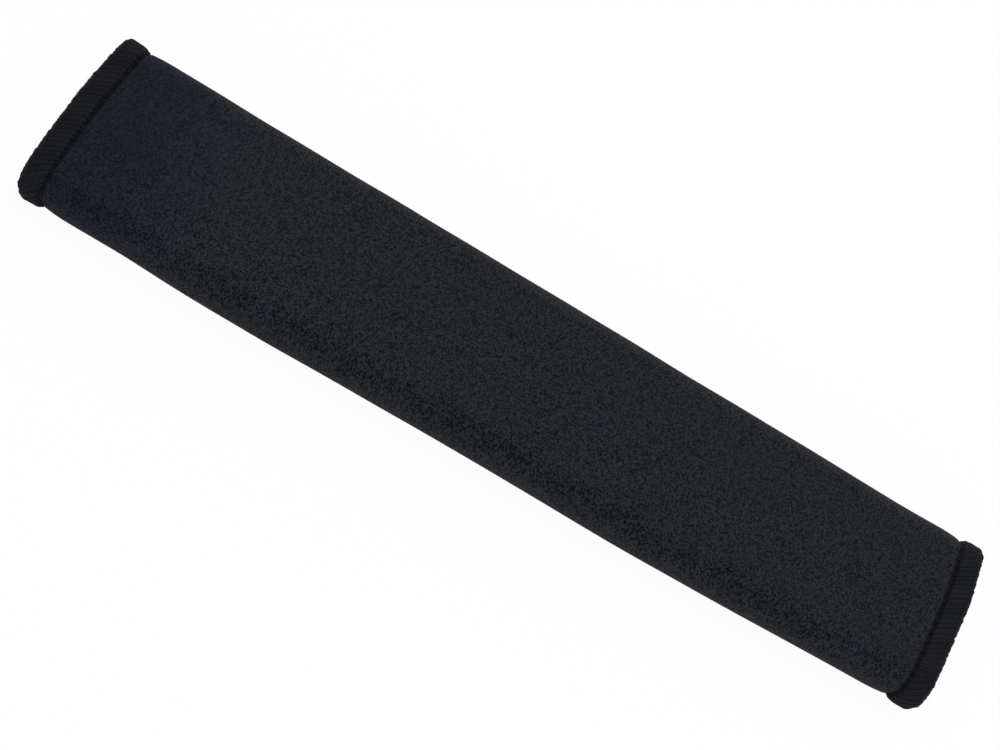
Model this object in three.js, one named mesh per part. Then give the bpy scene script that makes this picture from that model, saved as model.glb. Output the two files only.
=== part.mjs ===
// A chainstay protector: one sheet of neoprene, wrapped into a flat tapering sleeve that closes
// along its back with hook and loop tape. Both cut ends are overlocked with three threads.
// Millimetres. X runs from the wide end to the narrow end, Y from the near fold to the far fold,
// Z up from the table, with the closure underneath. The origin is under the middle of the sleeve.
import * as THREE from 'three';

// Sleeve, closed and lying flat
const sleeveLength = 250;
const wideWidth = 52;
const narrowWidth = 47.5;
const boreHeight = 4.8;
const sheetThickness = 2;
const nearBow = 1;
const endBow = 1.2;
const endBowReach = 35;
const tuckIn = 1.6;

// Closure along the back
const overlapWidth = 20;
const overlapCentre = -2;
const tapeWidth = 16;
const tapeBacking = 0.4;
const hookHeight = 0.45;
const pileHeight = 0.3;
const selvedge = 2;
const tapeEndGap = 3;
const rampClearance = 1.2;

// Rows of lockstitch that hold the tapes
const seamThread = 0.3;
const seamFromTapeEdge = 1;
const seamGrooveWidth = 1.2;
const seamGrooveDepth = 0.45;

// Overlocked ends
const overlockWidth = 5;
const stitchLength = 3;
const squashedSheet = 1;
const threadSeat = 0.2;
const looperThickness = 0.35;
const ribHeight = 0.2;
const rimThickness = 0.8;
const threadSlant = 0.4;
const slantFade = 6;
const needleThread = 0.35;
const needleWave = 0.15;
const needleGrooveWidth = 1.5;
const needleGrooveDepth = 0.55;
const endFlare = 0.35;
const groovePinch = 0.2;

// Clearance between pieces that lie on each other
const seatGap = 0.1;

// Smoothness
const foldSteps = 8;
const frontSteps = 6;
const rampSteps = 8;
const bodySteps = 8;

// Levels that follow from the stack of flaps and tapes
const flapGap = 3 * seatGap + 2 * tapeBacking + hookHeight + pileHeight;
const sleeveThickness = 3 * sheetThickness + flapGap + boreHeight;
const outerFlapLevel = sheetThickness / 2;
const innerFlapLevel = 1.5 * sheetThickness + flapGap;
const frontLevel = sleeveThickness - sheetThickness / 2;
const foldRadius = (frontLevel - outerFlapLevel) / 2;
const foldCentre = (wideWidth - sleeveThickness) / 2;
const outerFlapEdge = overlapCentre + overlapWidth / 2;
const innerFlapEdge = overlapCentre - overlapWidth / 2;
const rampTop = outerFlapEdge + rampClearance;
const seamRows = [
  overlapCentre - tapeWidth / 2 + seamFromTapeEdge,
  overlapCentre + tapeWidth / 2 - seamFromTapeEdge,
];

// Distances inwards from an end of the sleeve
const grooveStart = overlockWidth + seatGap;
const grooveEnd = grooveStart + needleGrooveWidth;
const grooveSlope = needleGrooveWidth / 4;
const needleLine = grooveStart + needleGrooveWidth / 2;
const sheetStart = rimThickness + seatGap;
const tapeStart = grooveEnd + tapeEndGap;

// How far threads stand out from the middle of the squashed sheet
const looperFloor = squashedSheet / 2 + threadSeat;
const looperValley = looperFloor + looperThickness;
const looperCrest = looperValley + ribHeight;
const seamProud = Math.max(0, looperCrest - sheetThickness / 2);

// The sheet's middle line across the sleeve at the wide end, from the outer flap's free edge,
// round the near fold, over the front, round the far fold and up onto the outer flap
function middleLine() {
  const line = new THREE.Path();
  const quarter = Math.PI / 2;
  const reach = (foldCentre - rampTop) / 2;
  line.moveTo(outerFlapEdge, outerFlapLevel);
  line.lineTo(-foldCentre, outerFlapLevel);
  line.absarc(-foldCentre, sleeveThickness / 2, foldRadius, -quarter, quarter, true);
  line.lineTo(foldCentre, frontLevel);
  line.absarc(foldCentre, sleeveThickness / 2, foldRadius, quarter, -quarter, true);
  line.bezierCurveTo(
    foldCentre - reach, outerFlapLevel,
    rampTop + reach, innerFlapLevel,
    rampTop, innerFlapLevel,
  );
  line.lineTo(innerFlapEdge, innerFlapLevel);
  return line;
}
const middle = middleLine();
const sheetWidth = middle.getLength();

const smooth = THREE.MathUtils.smoothstep;

function fromEnd(x) {
  return sleeveLength / 2 - Math.abs(x);
}

function isOverlocked(end) {
  return end < grooveStart + grooveSlope / 2;
}

function isInGroove(end) {
  return !isOverlocked(end) && end < grooveEnd - grooveSlope / 2;
}

// The sheet is folded round the middle line. Depth runs from the outer face to the inner face.
function wrap(depth, across) {
  const share = THREE.MathUtils.clamp(across / sheetWidth, 0, 1);
  const place = middle.getPoint(share);
  const along = middle.getTangent(share);
  return new THREE.Vector2(place.x + depth * along.y, place.y - depth * along.x);
}

// The folds come closer towards the narrow end, and the threads spread both ends a little
function foldShift(x, side) {
  const share = (x + sleeveLength / 2) / sleeveLength;
  const taper = ((wideWidth - narrowWidth) / 2) * share;
  const bow = side < 0 ? nearBow * Math.sin(Math.PI * share) ** 2 : 0;
  const end = fromEnd(x);
  const flare = isOverlocked(end) ? endFlare : 0;
  const pinch = isInGroove(end) ? groovePinch : 0;
  return taper + pinch - bow - flare;
}

function taper(x, y) {
  const side = Math.sign(y - overlapCentre);
  const free = foldCentre - side * overlapCentre - overlapWidth / 2;
  const past = Math.abs(y - overlapCentre) - overlapWidth / 2;
  return y - side * foldShift(x, side) * THREE.MathUtils.clamp(past / free, 0, 1);
}

// The ends are cut to a shallow bow, and the back is a little shorter than the front
function tuck(x, y, z) {
  const underneath = 1 - smooth(z, 0.15 * sleeveThickness, 0.75 * sleeveThickness);
  const nearEnd = 1 - smooth(fromEnd(x), 0, endBowReach);
  const bow = endBow * nearEnd * (y / (wideWidth / 2)) ** 2;
  return x - (2 * x / sleeveLength) * tuckIn * underneath - Math.sign(x) * bow;
}

// The thick ends lift the back off the table
function settle(x, z) {
  const lift = seamProud * (1 - smooth(fromEnd(x), grooveEnd, tapeStart));
  return z + lift * Math.max(0, 1 - z / (sleeveThickness / 2));
}

// Moves a flat pattern piece to its place in the sleeve. The flat piece has x along the sleeve,
// y through the sheet towards the inside and z across the sheet.
function foldUp(geometry) {
  const points = geometry.getAttribute('position');
  for (let i = 0; i < points.count; i += 1) {
    const x = points.getX(i);
    const section = wrap(points.getY(i), points.getZ(i));
    const y = taper(x, section.x);
    points.setXYZ(i, tuck(x, y, section.y), y, settle(x, section.y));
  }
  geometry.deleteAttribute('uv');
  geometry.computeVertexNormals();
  return geometry;
}

function evenly(from, to, steps) {
  return Array.from({ length: steps }, (_, i) => from + ((to - from) * (i + 1)) / steps);
}

// Places along the sleeve where the sheet's thickness or outline changes
function lengthStations() {
  const ends = [
    sheetStart, grooveStart, grooveStart + grooveSlope, grooveEnd - grooveSlope, grooveEnd,
    (grooveEnd + tapeStart) / 2, tapeStart,
  ].map((end) => sleeveLength / 2 - end);
  const body = ends[ends.length - 1];
  return [...ends.map((x) => -x), ...evenly(-body, body, bodySteps - 1).slice(0, -1), ...ends.reverse()];
}

// Places across the sheet: grooves in the flaps, arcs in the folds, the ramp
function acrossStations() {
  const half = seamGrooveWidth / 2;
  const nearFold = outerFlapEdge + foldCentre;
  const foldArc = Math.PI * foldRadius;
  const front = 2 * foldCentre;
  const farFold = nearFold + foldArc + front;
  const innerFlap = sheetWidth - (rampTop - innerFlapEdge);
  const outerGrooves = [...seamRows].reverse().map((y) => outerFlapEdge - y);
  const innerGrooves = [...seamRows].reverse().map((y) => sheetWidth - (y - innerFlapEdge));
  const groove = (u) => [u - half, u, u + half];
  return [
    0,
    ...outerGrooves.flatMap(groove),
    overlapWidth,
    nearFold,
    ...evenly(nearFold, nearFold + foldArc, foldSteps),
    ...evenly(nearFold + foldArc, farFold, frontSteps),
    ...evenly(farFold, farFold + foldArc, foldSteps),
    ...evenly(farFold + foldArc, innerFlap, rampSteps),
    ...innerGrooves.flatMap(groove),
    sheetWidth,
  ];
}

// Half the sheet's thickness where the overlock squashes it and where the needle row pulls it in
function halfThickness(x) {
  const end = fromEnd(x);
  if (isOverlocked(end)) return squashedSheet / 2;
  return sheetThickness / 2 - (isInGroove(end) ? needleGrooveDepth : 0);
}

// A lockstitch row pulls its bobbin thread into the face away from the tape
function seamDip(x, across, inside) {
  if (fromEnd(x) < grooveEnd) return 0;
  const rows = inside
    ? seamRows.map((y) => sheetWidth - (y - innerFlapEdge))
    : seamRows.map((y) => outerFlapEdge - y);
  return rows.some((u) => Math.abs(u - across) < seamGrooveWidth / 8) ? seamGrooveDepth : 0;
}

function neopreneSheet() {
  const xs = lengthStations();
  const us = acrossStations();
  const sheet = new THREE.BoxGeometry(1, 1, 1, xs.length - 1, 1, us.length - 1);
  const points = sheet.getAttribute('position');
  for (let i = 0; i < points.count; i += 1) {
    const x = xs[Math.round((points.getX(i) + 0.5) * (xs.length - 1))];
    const u = us[Math.round((points.getZ(i) + 0.5) * (us.length - 1))];
    const inside = points.getY(i) > 0;
    const depth = halfThickness(x) - seamDip(x, u, inside);
    points.setXYZ(i, x, inside ? depth : -depth, u);
  }
  return foldUp(sheet);
}

// A looper thread lies across one face of the sheet's edge and half of its rim, in ribs that
// lean. End is -1 for the wide end and 1 for the narrow end; face is -1 outside and 1 inside.
function looperThread(end, face) {
  const rim = seatGap / 2;
  const third = (overlockWidth - rimThickness) / 3;
  const outline = [
    [overlockWidth, looperFloor],
    [overlockWidth, looperValley],
    [overlockWidth - third, looperValley],
    [rimThickness + third, looperValley],
    [rimThickness, looperValley],
    [ribHeight, looperFloor],
    [ribHeight, rim],
    [rimThickness, rim],
    [rimThickness, looperFloor],
    [rimThickness + third, looperFloor],
    [overlockWidth - third, looperFloor],
  ].map(([inwards, out]) => new THREE.Vector2(end * (sleeveLength / 2 - inwards), face * out));
  const steps = 2 * Math.round(sheetWidth / stitchLength);
  const thread = new THREE.ExtrudeGeometry(new THREE.Shape(outline), {
    depth: sheetWidth, steps, bevelEnabled: false,
  });
  const points = thread.getAttribute('position');
  for (let i = 0; i < points.count; i += 1) {
    const inwards = fromEnd(points.getX(i));
    const out = Math.abs(points.getY(i));
    const u = points.getZ(i);
    const crest = Math.round((u / sheetWidth) * steps) % 2 === 1;
    const onTop = out > looperFloor + seatGap;
    const onRim = inwards < rimThickness - seatGap;
    const raised = crest && onTop ? ribHeight : 0;
    const pushed = crest && onRim ? ribHeight : 0;
    const fade = Math.min(1, u / slantFade, (sheetWidth - u) / slantFade);
    const lean = -end * threadSlant * fade * Math.max(0, inwards - rimThickness);
    points.setXYZ(
      i, points.getX(i) + end * pushed, points.getY(i) + face * raised, u + lean,
    );
  }
  return foldUp(thread);
}

// The needle thread runs along its groove on the outer face, down at each stitch hole
function needleRow(end) {
  const half = needleThread / 2;
  const seat = sheetThickness / 2 - needleGrooveDepth + seatGap + half;
  const section = new THREE.Shape().absarc(
    end * (sleeveLength / 2 - needleLine), -seat, half, 0, 2 * Math.PI, false,
  );
  const steps = 2 * Math.round(sheetWidth / stitchLength);
  const row = new THREE.ExtrudeGeometry(section, {
    depth: sheetWidth, steps, curveSegments: 3, bevelEnabled: false,
  });
  const points = row.getAttribute('position');
  for (let i = 0; i < points.count; i += 1) {
    const crest = Math.round((points.getZ(i) / sheetWidth) * steps) % 2 === 1;
    points.setY(i, points.getY(i) - (crest ? needleWave : 0));
  }
  return foldUp(row);
}

// A length of tape or thread along the back, from its section in Y and Z
function alongBack(section) {
  const length = sleeveLength - 2 * tuckIn - 2 * tapeStart;
  const strip = new THREE.ExtrudeGeometry(section, {
    depth: length, curveSegments: 4, bevelEnabled: false,
  });
  strip.deleteAttribute('uv');
  // The extrusion's own axes X, Y and Z become the sleeve's Y, Z and X
  strip.applyMatrix4(new THREE.Matrix4().set(
    0, 0, 1, -length / 2,
    1, 0, 0, 0,
    0, 1, 0, 0,
    0, 0, 0, 1,
  ));
  return strip;
}

// Backing with bare edges and a raised field between them, on the level of its seat
function tapeSection(seat, direction, field) {
  const half = tapeWidth / 2;
  const bare = half - selvedge;
  const backing = seat + direction * tapeBacking;
  const top = backing + direction * field;
  return new THREE.Shape([
    [-half, seat], [half, seat], [half, backing], [bare, backing],
    [bare, top], [-bare, top], [-bare, backing], [-half, backing],
  ].map(([y, z]) => new THREE.Vector2(overlapCentre + y, z)));
}

function threadSection(y, z) {
  return new THREE.Shape().absarc(y, z, seamThread / 2, 0, 2 * Math.PI, false);
}

const neoprene = new THREE.MeshStandardMaterial({ color: 0x222429, roughness: 0.92, metalness: 0 });
const overlock = new THREE.MeshStandardMaterial({ color: 0x1c1e22, roughness: 0.8, metalness: 0 });
const tape = new THREE.MeshStandardMaterial({ color: 0x17181b, roughness: 0.75, metalness: 0 });
const thread = new THREE.MeshStandardMaterial({ color: 0x131417, roughness: 0.7, metalness: 0 });

const protector = new THREE.Group();

function add(name, geometry, material) {
  const mesh = new THREE.Mesh(geometry, material);
  mesh.name = name;
  protector.add(mesh);
}

function addEnd(name, end) {
  add(`${name}_upper_looper_thread`, looperThread(end, -1), overlock);
  add(`${name}_lower_looper_thread`, looperThread(end, 1), overlock);
  add(`${name}_needle_thread`, needleRow(end), thread);
}

// The hook tape lies on the outer flap and faces up, the loop tape hangs from the inner flap
function addClosure() {
  const hookSeat = sheetThickness + seatGap;
  const loopSeat = innerFlapLevel - sheetThickness / 2 - seatGap;
  const onBacking = tapeBacking + (seatGap + seamThread) / 2;
  const inGroove = seamGrooveDepth / 2;
  add('hook_tape', alongBack(tapeSection(hookSeat, 1, hookHeight)), tape);
  add('loop_tape', alongBack(tapeSection(loopSeat, -1, pileHeight)), tape);
  ['near', 'far'].forEach((row, i) => {
    const y = seamRows[i];
    const cavityFace = innerFlapLevel + sheetThickness / 2;
    add(`hook_tape_${row}_seam_needle_thread`, alongBack(threadSection(y, hookSeat + onBacking)), thread);
    add(`hook_tape_${row}_seam_bobbin_thread`, alongBack(threadSection(y, inGroove)), thread);
    add(`loop_tape_${row}_seam_needle_thread`, alongBack(threadSection(y, loopSeat - onBacking)), thread);
    add(`loop_tape_${row}_seam_bobbin_thread`, alongBack(threadSection(y, cavityFace - inGroove)), thread);
  });
}

add('neoprene_sheet', neopreneSheet(), neoprene);
addEnd('wide_end', -1);
addEnd('narrow_end', 1);
addClosure();

export default protector;
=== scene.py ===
# %% [markdown]
# # A chainstay protector
#
# The real object is one piece of thin neoprene, wrapped on itself into a flat sleeve and closed
# along its back with hook and loop tape. Its two ends are overlocked with bulky thread. The packed
# model gives every piece its place. This lesson makes the same pieces again as cloth and thread.

# %% Load the packed model
import math

import bpy
import numpy as np
from mathutils import Matrix, Vector


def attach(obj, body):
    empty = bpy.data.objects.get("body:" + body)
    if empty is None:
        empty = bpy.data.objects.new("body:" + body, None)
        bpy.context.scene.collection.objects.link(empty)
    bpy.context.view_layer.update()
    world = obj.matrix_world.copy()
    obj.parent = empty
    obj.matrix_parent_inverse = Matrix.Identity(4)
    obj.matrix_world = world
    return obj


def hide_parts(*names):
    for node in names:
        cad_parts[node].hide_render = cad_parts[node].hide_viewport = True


for name in ("Cube", "Light", "Camera"):
    if name in bpy.data.objects:
        bpy.data.objects.remove(bpy.data.objects[name])
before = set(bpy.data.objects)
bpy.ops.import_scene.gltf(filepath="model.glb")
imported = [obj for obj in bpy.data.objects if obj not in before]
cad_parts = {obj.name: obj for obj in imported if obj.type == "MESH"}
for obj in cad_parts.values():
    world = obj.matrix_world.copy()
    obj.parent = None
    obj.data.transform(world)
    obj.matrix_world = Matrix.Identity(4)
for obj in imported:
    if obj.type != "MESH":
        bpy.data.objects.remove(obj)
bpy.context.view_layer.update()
print("nodes", sorted(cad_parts))

# %% [markdown]
# ## The sizes of the sleeve
#
# These are the sizes that the packed model was built from, in millimetres. X runs along the sleeve
# from its wide end to its narrow end, Y runs from the near fold to the far fold, and Z runs up.

# %% Sizes of the sleeve
MM = 0.001
SLEEVE_LENGTH = 250
WIDE_WIDTH = 52
NARROW_WIDTH = 47.5
BORE_HEIGHT = 4.8
SHEET_THICKNESS = 2
FLAP_GAP = 1.85
TUCK_IN = 1.6
NEAR_BOW = 1
END_BOW = 1.2
END_BOW_REACH = 35
OVERLAP_WIDTH = 20
OVERLAP_CENTRE = -2
RAMP_CLEARANCE = 1.2
OVERLOCK_WIDTH = 5
GROOVE_START = 5.1
GROOVE_WIDTH = 1.5
NEEDLE_LINE = GROOVE_START + GROOVE_WIDTH / 2
GROOVE_END = GROOVE_START + GROOVE_WIDTH
TAPE_START = GROOVE_END + 3
SHEET_CUT_BACK = 0.9
STITCH = 3
ENDS = (("wide_end", -1), ("narrow_end", 1))

SLEEVE_THICKNESS = 3 * SHEET_THICKNESS + FLAP_GAP + BORE_HEIGHT
OUTER_FLAP_LEVEL = SHEET_THICKNESS / 2
INNER_FLAP_LEVEL = 1.5 * SHEET_THICKNESS + FLAP_GAP
FRONT_LEVEL = SLEEVE_THICKNESS - SHEET_THICKNESS / 2
FOLD_RADIUS = (FRONT_LEVEL - OUTER_FLAP_LEVEL) / 2
FOLD_CENTRE = (WIDE_WIDTH - SLEEVE_THICKNESS) / 2
OUTER_FLAP_EDGE = OVERLAP_CENTRE + OVERLAP_WIDTH / 2
INNER_FLAP_EDGE = OVERLAP_CENTRE - OVERLAP_WIDTH / 2
RAMP_TOP = OUTER_FLAP_EDGE + RAMP_CLEARANCE
print("closed thickness", round(SLEEVE_THICKNESS, 2))

# %% [markdown]
# ## From a flat pattern to a wrapped sleeve
#
# Whoever makes the real thing works on flat cloth and wraps it last. The lesson does the same. A
# flat piece has X along the sleeve, Y across the cloth and Z out of its outer face. The middle line
# below is the path that the cloth takes round the sleeve: outer flap, near fold, front, far fold,
# a ramp, and the inner flap.

# %% The middle line of the wrapped cloth
FOLD_STEPS = 240
RAMP_STEPS = 160
LINE_STEPS = 4000


def middle_line():
    reach = (FOLD_CENTRE - RAMP_TOP) / 2
    turn = np.linspace(0, np.pi, FOLD_STEPS)[:, None]
    over = np.linspace(0, 1, RAMP_STEPS)[:, None]
    near_fold = np.hstack([-np.sin(turn), -np.cos(turn)]) * FOLD_RADIUS
    far_fold = np.hstack([np.sin(turn), np.cos(turn)]) * FOLD_RADIUS
    start = np.array([FOLD_CENTRE, OUTER_FLAP_LEVEL])
    leave = start - [reach, 0]
    end = np.array([RAMP_TOP, INNER_FLAP_LEVEL])
    arrive = end + [reach, 0]
    ramp = (
        (1 - over) ** 3 * start
        + 3 * over * (1 - over) ** 2 * leave
        + 3 * over ** 2 * (1 - over) * arrive
        + over ** 3 * end
    )
    corners = np.vstack([
        [[OUTER_FLAP_EDGE, OUTER_FLAP_LEVEL]],
        near_fold + [-FOLD_CENTRE, SLEEVE_THICKNESS / 2],
        far_fold + [FOLD_CENTRE, SLEEVE_THICKNESS / 2],
        ramp[1:],
        [[INNER_FLAP_EDGE, INNER_FLAP_LEVEL]],
    ])
    run = np.r_[0, np.cumsum(np.linalg.norm(np.diff(corners, axis=0), axis=1))]
    return run, corners


run, corners = middle_line()
SHEET_WIDTH = run[-1]
across = np.linspace(0, SHEET_WIDTH, LINE_STEPS)
middle_y = np.interp(across, run, corners[:, 0])
middle_z = np.interp(across, run, corners[:, 1])
heading_y = np.gradient(middle_y, across)
heading_z = np.gradient(middle_z, across)
NEAR_FOLD_AT = OUTER_FLAP_EDGE + FOLD_CENTRE
FAR_FOLD_AT = NEAR_FOLD_AT + 2 * FOLD_CENTRE + 2 * np.pi * FOLD_RADIUS
print("the sheet is", round(SHEET_WIDTH, 1), "mm wide")

# %% [markdown]
# ### Where the stitches fall
#
# A sewing machine makes every stitch the same length. So each row is counted first and centred on
# the cloth. The holes in the cloth and the threads in them are both made from these numbers, which
# is why they meet.

# %% Where the stitches fall
SEAM_OFFSET = 7
NEEDLE_STITCHES = int(SHEET_WIDTH / STITCH)
NEEDLE_MARGIN = (SHEET_WIDTH - NEEDLE_STITCHES * STITCH) / 2
SEAM_STITCHES = int((SLEEVE_LENGTH - 2 * TUCK_IN - 2 * TAPE_START) / STITCH)
SEAM_START = -SEAM_STITCHES * STITCH / 2
SEAM_LINES = (OVERLAP_CENTRE - SEAM_OFFSET, OVERLAP_CENTRE + SEAM_OFFSET)
print(NEEDLE_STITCHES, "stitches across each end,", SEAM_STITCHES, "along each tape seam")

# %% [markdown]
# ### Soft steps
#
# Cloth hardly ever changes its shape at a sharp line. `smooth` rises from 0 to 1 with no corner at
# either end, and most of the shaping below is made of such steps and of rounded dips.

# %% Soft steps
def smooth(value, low, high):
    share = np.clip((value - low) / (high - low), 0, 1)
    return share * share * (3 - 2 * share)


def bell(distance, reach):
    """1 where the distance is 0, falling softly to 0 on both sides."""
    return np.exp(-((distance / reach) ** 2))


def from_end(x):
    """How far inwards from the nearer end a place lies."""
    return SLEEVE_LENGTH / 2 - np.abs(x)


print("halfway up a soft step:", smooth(0.5, 0, 1))


# %% [markdown]
# ### How the wrapped cloth gives and settles
#
# A soft sleeve is never quite straight, and folds that are ruler straight would look like plastic.
# So each fold wanders by a few tenths of a millimetre, with one value for every 20 mm.

# %% Wandering folds
NEAR_WANDER = np.array([
    -0.30, 0.02, 0.35, 0.07, -0.25, -0.10, 0.10, 0.25, 0.25, -0.05, -0.06, 0.05, 0.15,
])
FAR_WANDER = np.array([
    0.13, 0.00, -0.25, -0.23, 0.10, 0.22, 0.10, 0.05, -0.10, 0.10, 0.13, -0.13, 0.25,
])
WANDER_STEP = 20


def wander(x, values):
    """Glides from each value to the next, from the wide end to the narrow end."""
    at = np.clip(x / WANDER_STEP + (len(values) - 1) / 2, 0, len(values) - 1.001)
    before = at.astype(int)
    share = smooth(at - before, 0, 1)
    return values[before] * (1 - share) + values[before + 1] * share


print("the folds wander within", np.ptp(NEAR_WANDER), "and", np.ptp(FAR_WANDER), "mm")

# %% [markdown]
# ### The shape of each fold
#
# `fold_shift` says how far a fold lies inside a straight, untapered sleeve. Side is -1 for the near
# fold and 1 for the far one. The near fold bows out a little and waves. Both folds are drawn in at
# the needle rows, and flare at the rims, which are full of thread.

# %% The shape of each fold
NEAR_WAVE = 0.45
WAVE_START = -57.5
WAVE_LENGTH = 118
END_FLARE = 0.35
WIDE_PINCH, NARROW_PINCH, PINCH_REACH = 0.05, 0.25, 0.8
WAIST, WAIST_REACH = 0.3, 4


def fold_shift(x, side):
    share = (x + SLEEVE_LENGTH / 2) / SLEEVE_LENGTH
    end = from_end(x)
    taper = (WIDE_WIDTH - NARROW_WIDTH) / 2 * share
    bow = NEAR_BOW * np.sin(np.pi * share) ** 2
    wave = NEAR_WAVE * np.cos(2 * np.pi * (x - WAVE_START) / WAVE_LENGTH)
    wave = wave * smooth(share, 0.03, 0.16)
    flare = END_FLARE * (1 - smooth(end, GROOVE_START - 0.9, GROOVE_START + 0.4))
    pinch = np.where(x < 0, WIDE_PINCH, NARROW_PINCH) * bell(end - NEEDLE_LINE, PINCH_REACH)
    waist = WAIST * bell(end - NEEDLE_LINE, WAIST_REACH)
    strays = np.where(side < 0, bow + wave + wander(x, NEAR_WANDER), wander(x, FAR_WANDER))
    return taper + pinch + waist - flare - strays


print("the near fold is moved in by", fold_shift(np.array([-100.0, 0, 100]), -1).round(2))

# %% [markdown]
# ### From flat to wrapped
#
# `wrap` takes each point out from the middle line by its height above the flat cloth, moves the
# folds, and bends the ends. The front swells and sinks by a tenth of a millimetre, as foam does.
# The hidden layers end a little short of the front, and the ends lift a little off the table.

# %% From flat to wrapped
SLOW_SWELL = 0.13
QUICK_SWELL = 0.04
STRAY_REACH = 12
NARROW_STRAY, NARROW_STRAY_AT, NARROW_STRAY_REACH = 0.38, 7, 6
WIDE_STRAY = 0.2
END_LIFT = 0.25


def soft_swell(x, u):
    """Slow, shallow unevenness of the front and the folds. The closure stays flat."""
    loose = smooth(u, NEAR_FOLD_AT - 2, NEAR_FOLD_AT + 12)
    loose = loose * (1 - smooth(u, FAR_FOLD_AT - 12, FAR_FOLD_AT + 2))
    slow = np.sin(x / 17 + 0.5 * np.sin(u / 9)) * np.cos(u / 12.5 + 0.4 * np.sin(x / 23))
    quick = np.sin(x / 6.1 + u / 7.3 + 1.3) * np.sin(u / 4.7 - x / 11 + 0.4)
    return loose * (SLOW_SWELL * slow + QUICK_SWELL * quick)


def wrap(flat):
    """Takes points of a flat piece, in millimetres, to their place in the sleeve."""
    x, u, out = flat[:, 0], np.clip(flat[:, 1], 0, SHEET_WIDTH), flat[:, 2]
    out = out + soft_swell(x, u)
    y = np.interp(u, across, middle_y) - out * np.interp(u, across, heading_z)
    z = np.interp(u, across, middle_z) + out * np.interp(u, across, heading_y)
    side = np.sign(y - OVERLAP_CENTRE)
    free = FOLD_CENTRE - side * OVERLAP_CENTRE - OVERLAP_WIDTH / 2
    past = np.abs(y - OVERLAP_CENTRE) - OVERLAP_WIDTH / 2
    y = y - side * fold_shift(x, side) * np.clip(past / free, 0, 1)
    under = 1 - smooth(z, 0.15 * SLEEVE_THICKNESS, 0.75 * SLEEVE_THICKNESS)
    near_end = 1 - smooth(from_end(x), 0, END_BOW_REACH)
    bow = END_BOW * near_end * (y / (WIDE_WIDTH / 2)) ** 2
    at_end = 1 - smooth(from_end(x), 0, STRAY_REACH)
    narrow_stray = NARROW_STRAY * bell(y - NARROW_STRAY_AT, NARROW_STRAY_REACH)
    stray = np.where(x > 0, narrow_stray, WIDE_STRAY * smooth(y, -4, 4))
    x = x - 2 * x / SLEEVE_LENGTH * TUCK_IN * under - np.sign(x) * (bow - stray * at_end)
    lift = END_LIFT * (1 - smooth(from_end(x), GROOVE_END, TAPE_START))
    z = z + lift * np.maximum(0, 1 - z / (SLEEVE_THICKNESS / 2))
    return np.stack([x, y, z], axis=1)


print("middle of the near fold:", wrap(np.array([[0, NEAR_FOLD_AT + 8.5, 1]])).round(1))

# %% [markdown]
# ### Points in and out of a mesh
#
# Blender keeps a mesh's points in one long list. These helpers read that list into an array, and
# write it back, so that a whole piece is bent at once. `remember` stores where each point lay in
# the flat piece. The materials read it, so a knit or a twist follows the cloth and the thread.

# %% Helpers for points
def points_of(piece):
    points = np.empty(len(piece.data.vertices) * 3)
    piece.data.vertices.foreach_get("co", points)
    return points.reshape(-1, 3)


def place_points(piece, points):
    piece.data.vertices.foreach_set("co", np.ascontiguousarray(points).ravel())
    piece.data.update()


def remember(piece, name, points):
    layer = piece.data.attributes.new(name, "FLOAT_VECTOR", "POINT")
    layer.data.foreach_set("vector", np.ascontiguousarray(points).ravel())


def start_clean():
    if bpy.context.mode != "OBJECT":
        bpy.ops.object.mode_set(mode="OBJECT")
    bpy.ops.object.select_all(action="DESELECT")


# %% [markdown]
# ### Modifiers and the last step of each piece
#
# A modifier is applied at once, so that its result can be bent. The last step is the same for every
# piece: its material, its faces turned outwards, its shading, the body that it rides on, and the
# packed node that it takes the place of, which is hidden.

# %% Helpers for pieces
def apply_modifier(piece, kind, **settings):
    modifier = piece.modifiers.new(kind.title(), kind)
    for key, value in settings.items():
        setattr(modifier, key, value)
    bpy.context.view_layer.objects.active = piece
    bpy.ops.object.modifier_apply(modifier=modifier.name)


def turn_faces_out(piece):
    """A shape carried along a path can come out inside out, so its faces are turned outwards."""
    start_clean()
    piece.select_set(True)
    bpy.context.view_layer.objects.active = piece
    bpy.ops.object.mode_set(mode="EDIT")
    bpy.ops.mesh.select_all(action="SELECT")
    bpy.ops.mesh.normals_make_consistent(inside=False)
    bpy.ops.object.mode_set(mode="OBJECT")


def finish_piece(piece, node, material):
    piece.data.materials.clear()
    piece.data.materials.append(material)
    turn_faces_out(piece)
    bpy.ops.object.shade_smooth()
    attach(piece, "root")
    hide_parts(node)
    print(piece.name, len(piece.data.polygons), "faces")


print(len(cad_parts), "packed nodes to stand for")


# %% [markdown]
# ## Finishes
#
# Every finish here is black or nearly so, and what tells them apart is how they are made: a knit, a
# bulky thread, a tight thread, a moulded tape. Shader arithmetic gets long when each sum is a node,
# so a small class lets it be written as ordinary sums.

# %% Sums on sockets
class Wire:
    """An output socket. Sums on it add Math nodes."""

    def __init__(self, finish, socket):
        self.finish = finish
        self.socket = socket

    def math(self, operation, first, second=0.0):
        return self.finish.node("ShaderNodeMath", {0: first, 1: second}, operation=operation)

    def __add__(self, other):
        return self.math("ADD", self, other)

    def __sub__(self, other):
        return self.math("SUBTRACT", self, other)

    def __rsub__(self, other):
        return self.math("SUBTRACT", other, self)

    def __mul__(self, other):
        return self.math("MULTIPLY", self, other)

    def __truediv__(self, other):
        return self.math("DIVIDE", self, other)

    def __pow__(self, other):
        return self.math("POWER", self, other)

    __radd__ = __add__
    __rmul__ = __mul__

    def sine(self):
        return self.math("SINE", self)

    def size(self):
        return self.math("ABSOLUTE", self)

    def part(self):
        return self.math("FRACT", self)

    def whole(self):
        return self.math("FLOOR", self)

    def angle(self, other):
        return self.math("ARCTAN2", self, other)


print("a wire can do", *[name for name in vars(Wire) if name[0] != "_"])


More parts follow.
